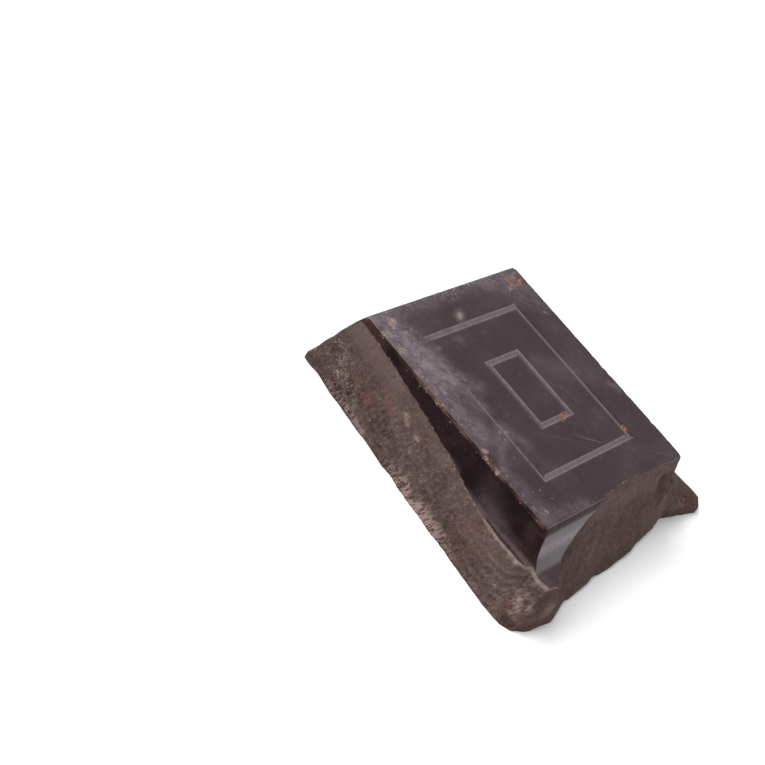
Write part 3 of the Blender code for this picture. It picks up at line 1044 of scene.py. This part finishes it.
def break_tone(paint, streaks, grain, lumps, fine):
    """How light each place of the break is, by its texture and its marks, with painted shade that
    darkens its hollows.
    """
    broad = paint.cloud(6.0, 2.0)
    tone = paint.times_plus(streaks, 1.6, paint.times(grain, 1.5))
    for texture, amount in ((lumps, 1.7), (broad, 1.3), (fine, 1.5)):
        tone = paint.times_plus(texture, amount, tone)
    tone = paint.times(paint.minus(tone, 3.8), "mottled")
    # The hollow mark darkens pits and lightens crests as painted shade; the dark mark is partly painted
    # shade too
    for name, amount in (("hollow", -1.2), ("dark", -0.60), ("pale", 0.40), ("light", 1.0)):
        tone = paint.times_plus(name, amount, tone)
    return tone


def broken_chocolate():
    """Dull brown broken face: grainy, mottled and streaked, with pale flakes and reddish patches."""
    paint = Paint("broken_chocolate")
    fine = paint.cloud(0.16, 3.0, 0.7)
    grain = paint.cloud(0.45, 4.0, 0.65, 0.3)
    lumps = paint.cloud(1.6, 3.0, 0.6, 0.5)
    upright = paint.cloud(0.40, 3.0, 0.6, 0.4, paint.stretched((0.10, -0.35, 1.0), 5.0))
    slanting = paint.cloud(0.45, 3.0, 0.6, 0.4, paint.stretched((0.62, 0.0, -0.78), 7.0))
    geometry = paint.add("NewGeometry", {})
    forward = paint.vector("DOT_PRODUCT", geometry.outputs["Normal"], (0.0, -1.0, 0.0))
    facing_front = paint.steps(forward, 0.5, 0.8)
    streaks = paint.times(upright, paint.minus(1.0, facing_front))
    streaks = paint.times_plus(slanting, facing_front, streaks)
    tone = break_tone(paint, streaks, grain, lumps, fine)
    colour = paint.mix(paint.steps(tone, -1.15, -0.40), BROKEN_DARK, BROKEN_MID)
    colour = paint.mix(paint.steps(tone, -0.60, 0.45), colour, BROKEN_PALE)
    red = paint.times("reddish", paint.steps(grain, 0.35, 0.60))
    red = paint.larger(red, paint.steps(paint.cloud(2.2, 4.0, 0.6, 0.5), 0.55, 0.75, 0.0, 0.30))
    colour = paint.mix(red, colour, BROKEN_RED)
    colour = paint.mix(facing_front, colour, FRONT_BROWN, 0.42)
    stripes = paint.times(paint.steps(upright, 0.44, 0.58), "fringe")
    colour = paint.mix(stripes, colour, FRINGE_PINK, 0.85)
    winding = paint.cloud(1.3, 2.0, 0.5, 1.4, paint.stretched((0.0, -0.5, 0.87), 1.8))
    lines = paint.steps(paint.off(winding, 0.5), 0.016, 0.006)
    lines = paint.times(lines, paint.steps(lumps, 0.40, 0.55))
    lines = paint.times(lines, paint.steps(facing_front, 0.0, 1.0, 1.0, 0.35))
    colour = paint.mix(lines, colour, BROKEN_DARK, 0.45)
    colour = paint.mix(paint.steps("rim", 0.2, 1.0), colour, RIM_BROWN, 0.35)
    dust = paint.times_plus("curl", 0.9, paint.times("pale", 0.6))
    dust = paint.times_plus(grain, 0.9, dust)
    colour = paint.mix(paint.steps(dust, 0.80, 1.30), colour, TAN, 0.9)
    specks = paint.specks(0.7, 0.13, 0.22, paint.shaken(0.5, 0.9))
    seen = paint.steps("mottled", 0.0, 0.6, 0.10, 0.40)
    colour = paint.mix(paint.times(specks, seen), colour, TAN)
    rusty = paint.crumbled(paint.times("rust", 1.4))
    colour = paint.mix(rusty, colour, RUST, 0.8)
    roughness = paint.times_plus(grain, 0.15, 0.70)
    relief = paint.steps("mottled", 0.0, 0.6, 0.35, 1.0)
    normal = paint.bump(fine, 0.06)
    normal = paint.bump(paint.times(grain, relief), 0.20, normal)
    normal = paint.bump(paint.times(streaks, relief), 0.18, normal)
    return paint.finish(colour, roughness, normal, 0.08)


def poured_chocolate():
    """Underside of the slab: smooth, with drawn-out swirls of grey bloom."""
    paint = Paint("poured_chocolate")
    fine = paint.cloud(0.25, 3.0, 0.6)
    swirl = paint.cloud(2.6, 4.0, 0.55, 2.2, paint.stretched((0.9, 0.4, 0.0), 3.5))
    broad = paint.cloud(9.0, 2.0, 0.5, 0.5)
    haze = paint.times(paint.steps(swirl, 0.38, 0.68), paint.steps(broad, 0.30, 0.62, 0.25, 0.85))
    haze = paint.times_plus(fine, 0.12, haze, clamp=True)
    colour = paint.mix(haze, MOULDED_WARM, BLOOM_GREY)
    colour = paint.mix(paint.specks(1.6, 0.2, 0.3), colour, TAN, 0.5)
    roughness = paint.times_plus(haze, 0.28, 0.42)
    normal = paint.bump(swirl, 0.10, paint.bump(fine, 0.02))
    return paint.finish(colour, roughness, normal, 0.35)


def crumb_chocolate():
    """Crumbs, from dark brown through tan to reddish, each of its own tint."""
    paint = Paint("crumb_chocolate")
    fine = paint.cloud(0.12, 2.0, 0.6)
    colour = paint.mix(paint.steps("tint", 0.0, 0.55), BROKEN_MID, BROKEN_PALE)
    colour = paint.mix(paint.steps("tint", 0.45, 0.85), colour, TAN)
    colour = paint.mix(paint.steps("tint", 0.92, 0.96, 0.0, 0.7), colour, RUST)
    colour = paint.mix(paint.steps(fine, 0.35, 0.75, 0.35, 0.0), colour, BROKEN_DARK)
    normal = paint.bump(fine, 0.03)
    roughness = paint.times_plus(fine, 0.15, 0.70)
    return paint.finish(colour, roughness, normal, 0.30)


# Crumbs: their number and sizes, the least height and the greatest X at which they lie
CRUMB_SEED = 41
CRUMB_COUNT = 520
CRUMB_SMALLEST = 0.030
CRUMB_RANGE = 0.08
CRUMB_LOWEST = 0.6
CRUMB_RIGHTMOST = 24.0
# How much each mark draws crumbs, the chance of one elsewhere, and the share on the block's left wall,
# whose darker chocolate is painted shade
CRUMB_PULLS = (("crumbly", 1.2), ("wear", 0.12), ("rust", 0.7))
CRUMB_ANYWHERE = 0.004
CRUMB_SHADED_WALL = 0.04


def crumb_weights(mesh):
    """Chance of a crumb on each face: along broken edges and rubbed edges, and in the torn places."""
    marks = {
        name: np.array([value.value for value in mesh.attributes[name].data])
        for name, _ in CRUMB_PULLS
    }
    weights = []
    for face in mesh.polygons:
        outside = face.center.z < CRUMB_LOWEST or face.center.x > CRUMB_RIGHTMOST
        if face.material_index == POURED or outside:
            weights.append(0.0)
            continue
        corners = list(face.vertices)
        weight = sum(pull * marks[name][corners].mean() for name, pull in CRUMB_PULLS) + CRUMB_ANYWHERE
        if face.material_index == SHADED_WALL:
            weight *= CRUMB_SHADED_WALL
        weights.append(weight * face.area)
    return weights


def crumb_mesh(mesh):
    """Small broken lumps half sunk into the surface, joined into one mesh in millimetres."""
    chance = random.Random(CRUMB_SEED)
    weights = crumb_weights(mesh)
    faces = chance.choices(range(len(mesh.polygons)), weights=weights, k=CRUMB_COUNT)
    template = bmesh.new()
    bmesh.ops.create_icosphere(template, subdivisions=1, radius=1.0)
    shape = [vert.co.copy() for vert in template.verts]
    skin = [[vert.index for vert in face.verts] for face in template.faces]
    template.free()
    places, triangles, tints = [], [], []
    for index in faces:
        face = mesh.polygons[index]
        corners = [mesh.vertices[corner].co for corner in face.vertices]
        shares = [chance.random() + 0.05 for _ in corners]
        place = sum((corner * share for corner, share in zip(corners, shares)), Vector()) / sum(shares)
        size = CRUMB_SMALLEST + CRUMB_RANGE * chance.random() ** 4.0
        lengths = Vector((size * chance.uniform(0.9, 1.9), size, size * chance.uniform(0.6, 1.0)))
        turn = Matrix.Rotation(chance.uniform(0.0, math.tau), 3, "Z")
        lean = face.normal.to_track_quat("Z", "Y").to_matrix()
        shift = Vector((chance.uniform(-50.0, 50.0), chance.uniform(-50.0, 50.0), 0.0))
        tint = chance.random()
        start = len(places)
        for spot in shape:
            lump = spot * (1.0 + 0.55 * noise.noise(spot * 1.3 + shift))
            local = Vector(a * b for a, b in zip(lump, lengths))
            places.append(place + lean @ (turn @ local) + face.normal * size * 0.15)
            tints.append(tint)
        triangles += [[start + corner for corner in corners] for corners in skin]
    joined = bpy.data.meshes.new("crumbs")
    joined.from_pydata(places, [], triangles)
    layer = joined.attributes.new("tint", "FLOAT", "POINT")
    layer.data.foreach_set("value", tints)
    return joined


def to_metres(mesh):
    """Scales a mesh from millimetres to metres."""
    mesh.transform(Matrix.Scale(MM, 4))
    mesh.update()


def add_piece(name, mesh):
    """Adds an object that stands for the solid and moves with it."""
    piece = add_object(name, mesh)
    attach(piece, "root")
    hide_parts("chocolate_piece")


FLOOR_HALF_SIZE = 3.0
FLOOR_COLOUR = (0.86, 0.86, 0.865, 1.0)


def add_floor():
    """Wide, flat and pale floor."""
    bm = bmesh.new()
    bmesh.ops.create_grid(bm, x_segments=2, y_segments=2, size=FLOOR_HALF_SIZE)
    floor = add_object("floor", finished_mesh(bm, "floor"))
    material = bpy.data.materials.new("pale_floor")
    material.use_nodes = True
    shader = material.node_tree.nodes["Principled BSDF"]
    shader.inputs["Base Color"].default_value = FLOOR_COLOUR
    shader.inputs["Roughness"].default_value = 0.85
    shader.inputs["Specular IOR Level"].default_value = 0.1
    floor.data.materials.append(material)


# Lights: place and side in metres, power in watts, and colour
KEY_LIGHT = ((-0.45, 0.30, 0.60), 0.60, 11.0, (1.0, 0.985, 0.96))
FILL_LIGHT = ((0.60, -0.50, 0.20), 0.50, 1.7, (1.0, 0.98, 0.96))
LIGHT_TARGET = Vector((0.0, 0.0, 0.005))
ROOM_COLOUR = (0.96, 0.97, 1.0, 1.0)
ROOM_STRENGTH = 0.55


def add_area_light(name, place, size, power, colour):
    """Square soft light that faces the piece."""
    data = bpy.data.lights.new(name, "AREA")
    data.shape = "SQUARE"
    data.size = size
    data.energy = power
    data.color = colour
    light = add_object(name, data)
    light.location = place
    light.rotation_euler = (LIGHT_TARGET - Vector(place)).to_track_quat("-Z", "Y").to_euler()


def add_lights():
    """Even light from all round, one strong soft light and a weak one from the other side."""
    world = bpy.data.worlds.new("soft_room")
    world.use_nodes = True
    background = world.node_tree.nodes["Background"]
    background.inputs["Color"].default_value = ROOM_COLOUR
    background.inputs["Strength"].default_value = ROOM_STRENGTH
    bpy.context.scene.world = world
    add_area_light("key_light", *KEY_LIGHT)
    add_area_light("fill_light", *FILL_LIGHT)


# Camera, fitted to the block in the photograph: its place in millimetres, the directions of the
# picture's right side, of its foot and of its view, and its focal length
CAMERA_PLACE = Vector((-168.49, -49.93, 139.54))
CAMERA_RIGHT = Vector((0.63584, -0.61391, 0.46778))
CAMERA_DOWN = Vector((-0.24499, -0.73526, -0.63196))
CAMERA_AHEAD = Vector((0.73191, 0.28723, -0.61791))
FOCAL_PIXELS = 1731.4
PICTURE_WIDTH = 765


def add_camera():
    """Camera at the photograph's viewing angle, tilted as the piece is there."""
    data = bpy.data.cameras.new("camera")
    data.sensor_width = 36.0
    data.lens = data.sensor_width * FOCAL_PIXELS / PICTURE_WIDTH
    data.clip_start = 0.001
    camera = add_object("camera", data)
    place = Matrix((CAMERA_RIGHT, -CAMERA_DOWN, -CAMERA_AHEAD)).transposed().to_4x4()
    place.translation = CAMERA_PLACE * MM
    camera.matrix_world = place
    bpy.context.scene.camera = camera


materials = (
    moulded_chocolate("moulded_chocolate", MOULDED_DARK, MOULDED_WARM, BLOOM_GREY, MOULDED_GLOSS),
    broken_chocolate(),
    poured_chocolate(),
    # Darker, less glossy copy of the moulded chocolate for the block's left wall: painted shade
    moulded_chocolate(
        "shaded_wall_chocolate", SHADED_WALL_DARK, SHADED_WALL_WARM, SHADED_WALL_GREY, SHADED_WALL_GLOSS
    ),
)
body = snapped_mesh(materials)
shape_and_paint(body)
crumbs = crumb_mesh(body)
crumbs.materials.append(crumb_chocolate())
for part in (body, crumbs):
    to_metres(part)
    part.shade_smooth()
body.set_sharp_from_angle(angle=SHARP_ANGLE)
body.name = "piece_surface"
add_piece("chocolate_body", body)
add_piece("chocolate_crumbs", crumbs)
add_floor()
add_lights()
add_camera()
bpy.context.scene.view_settings.view_transform = "Standard"
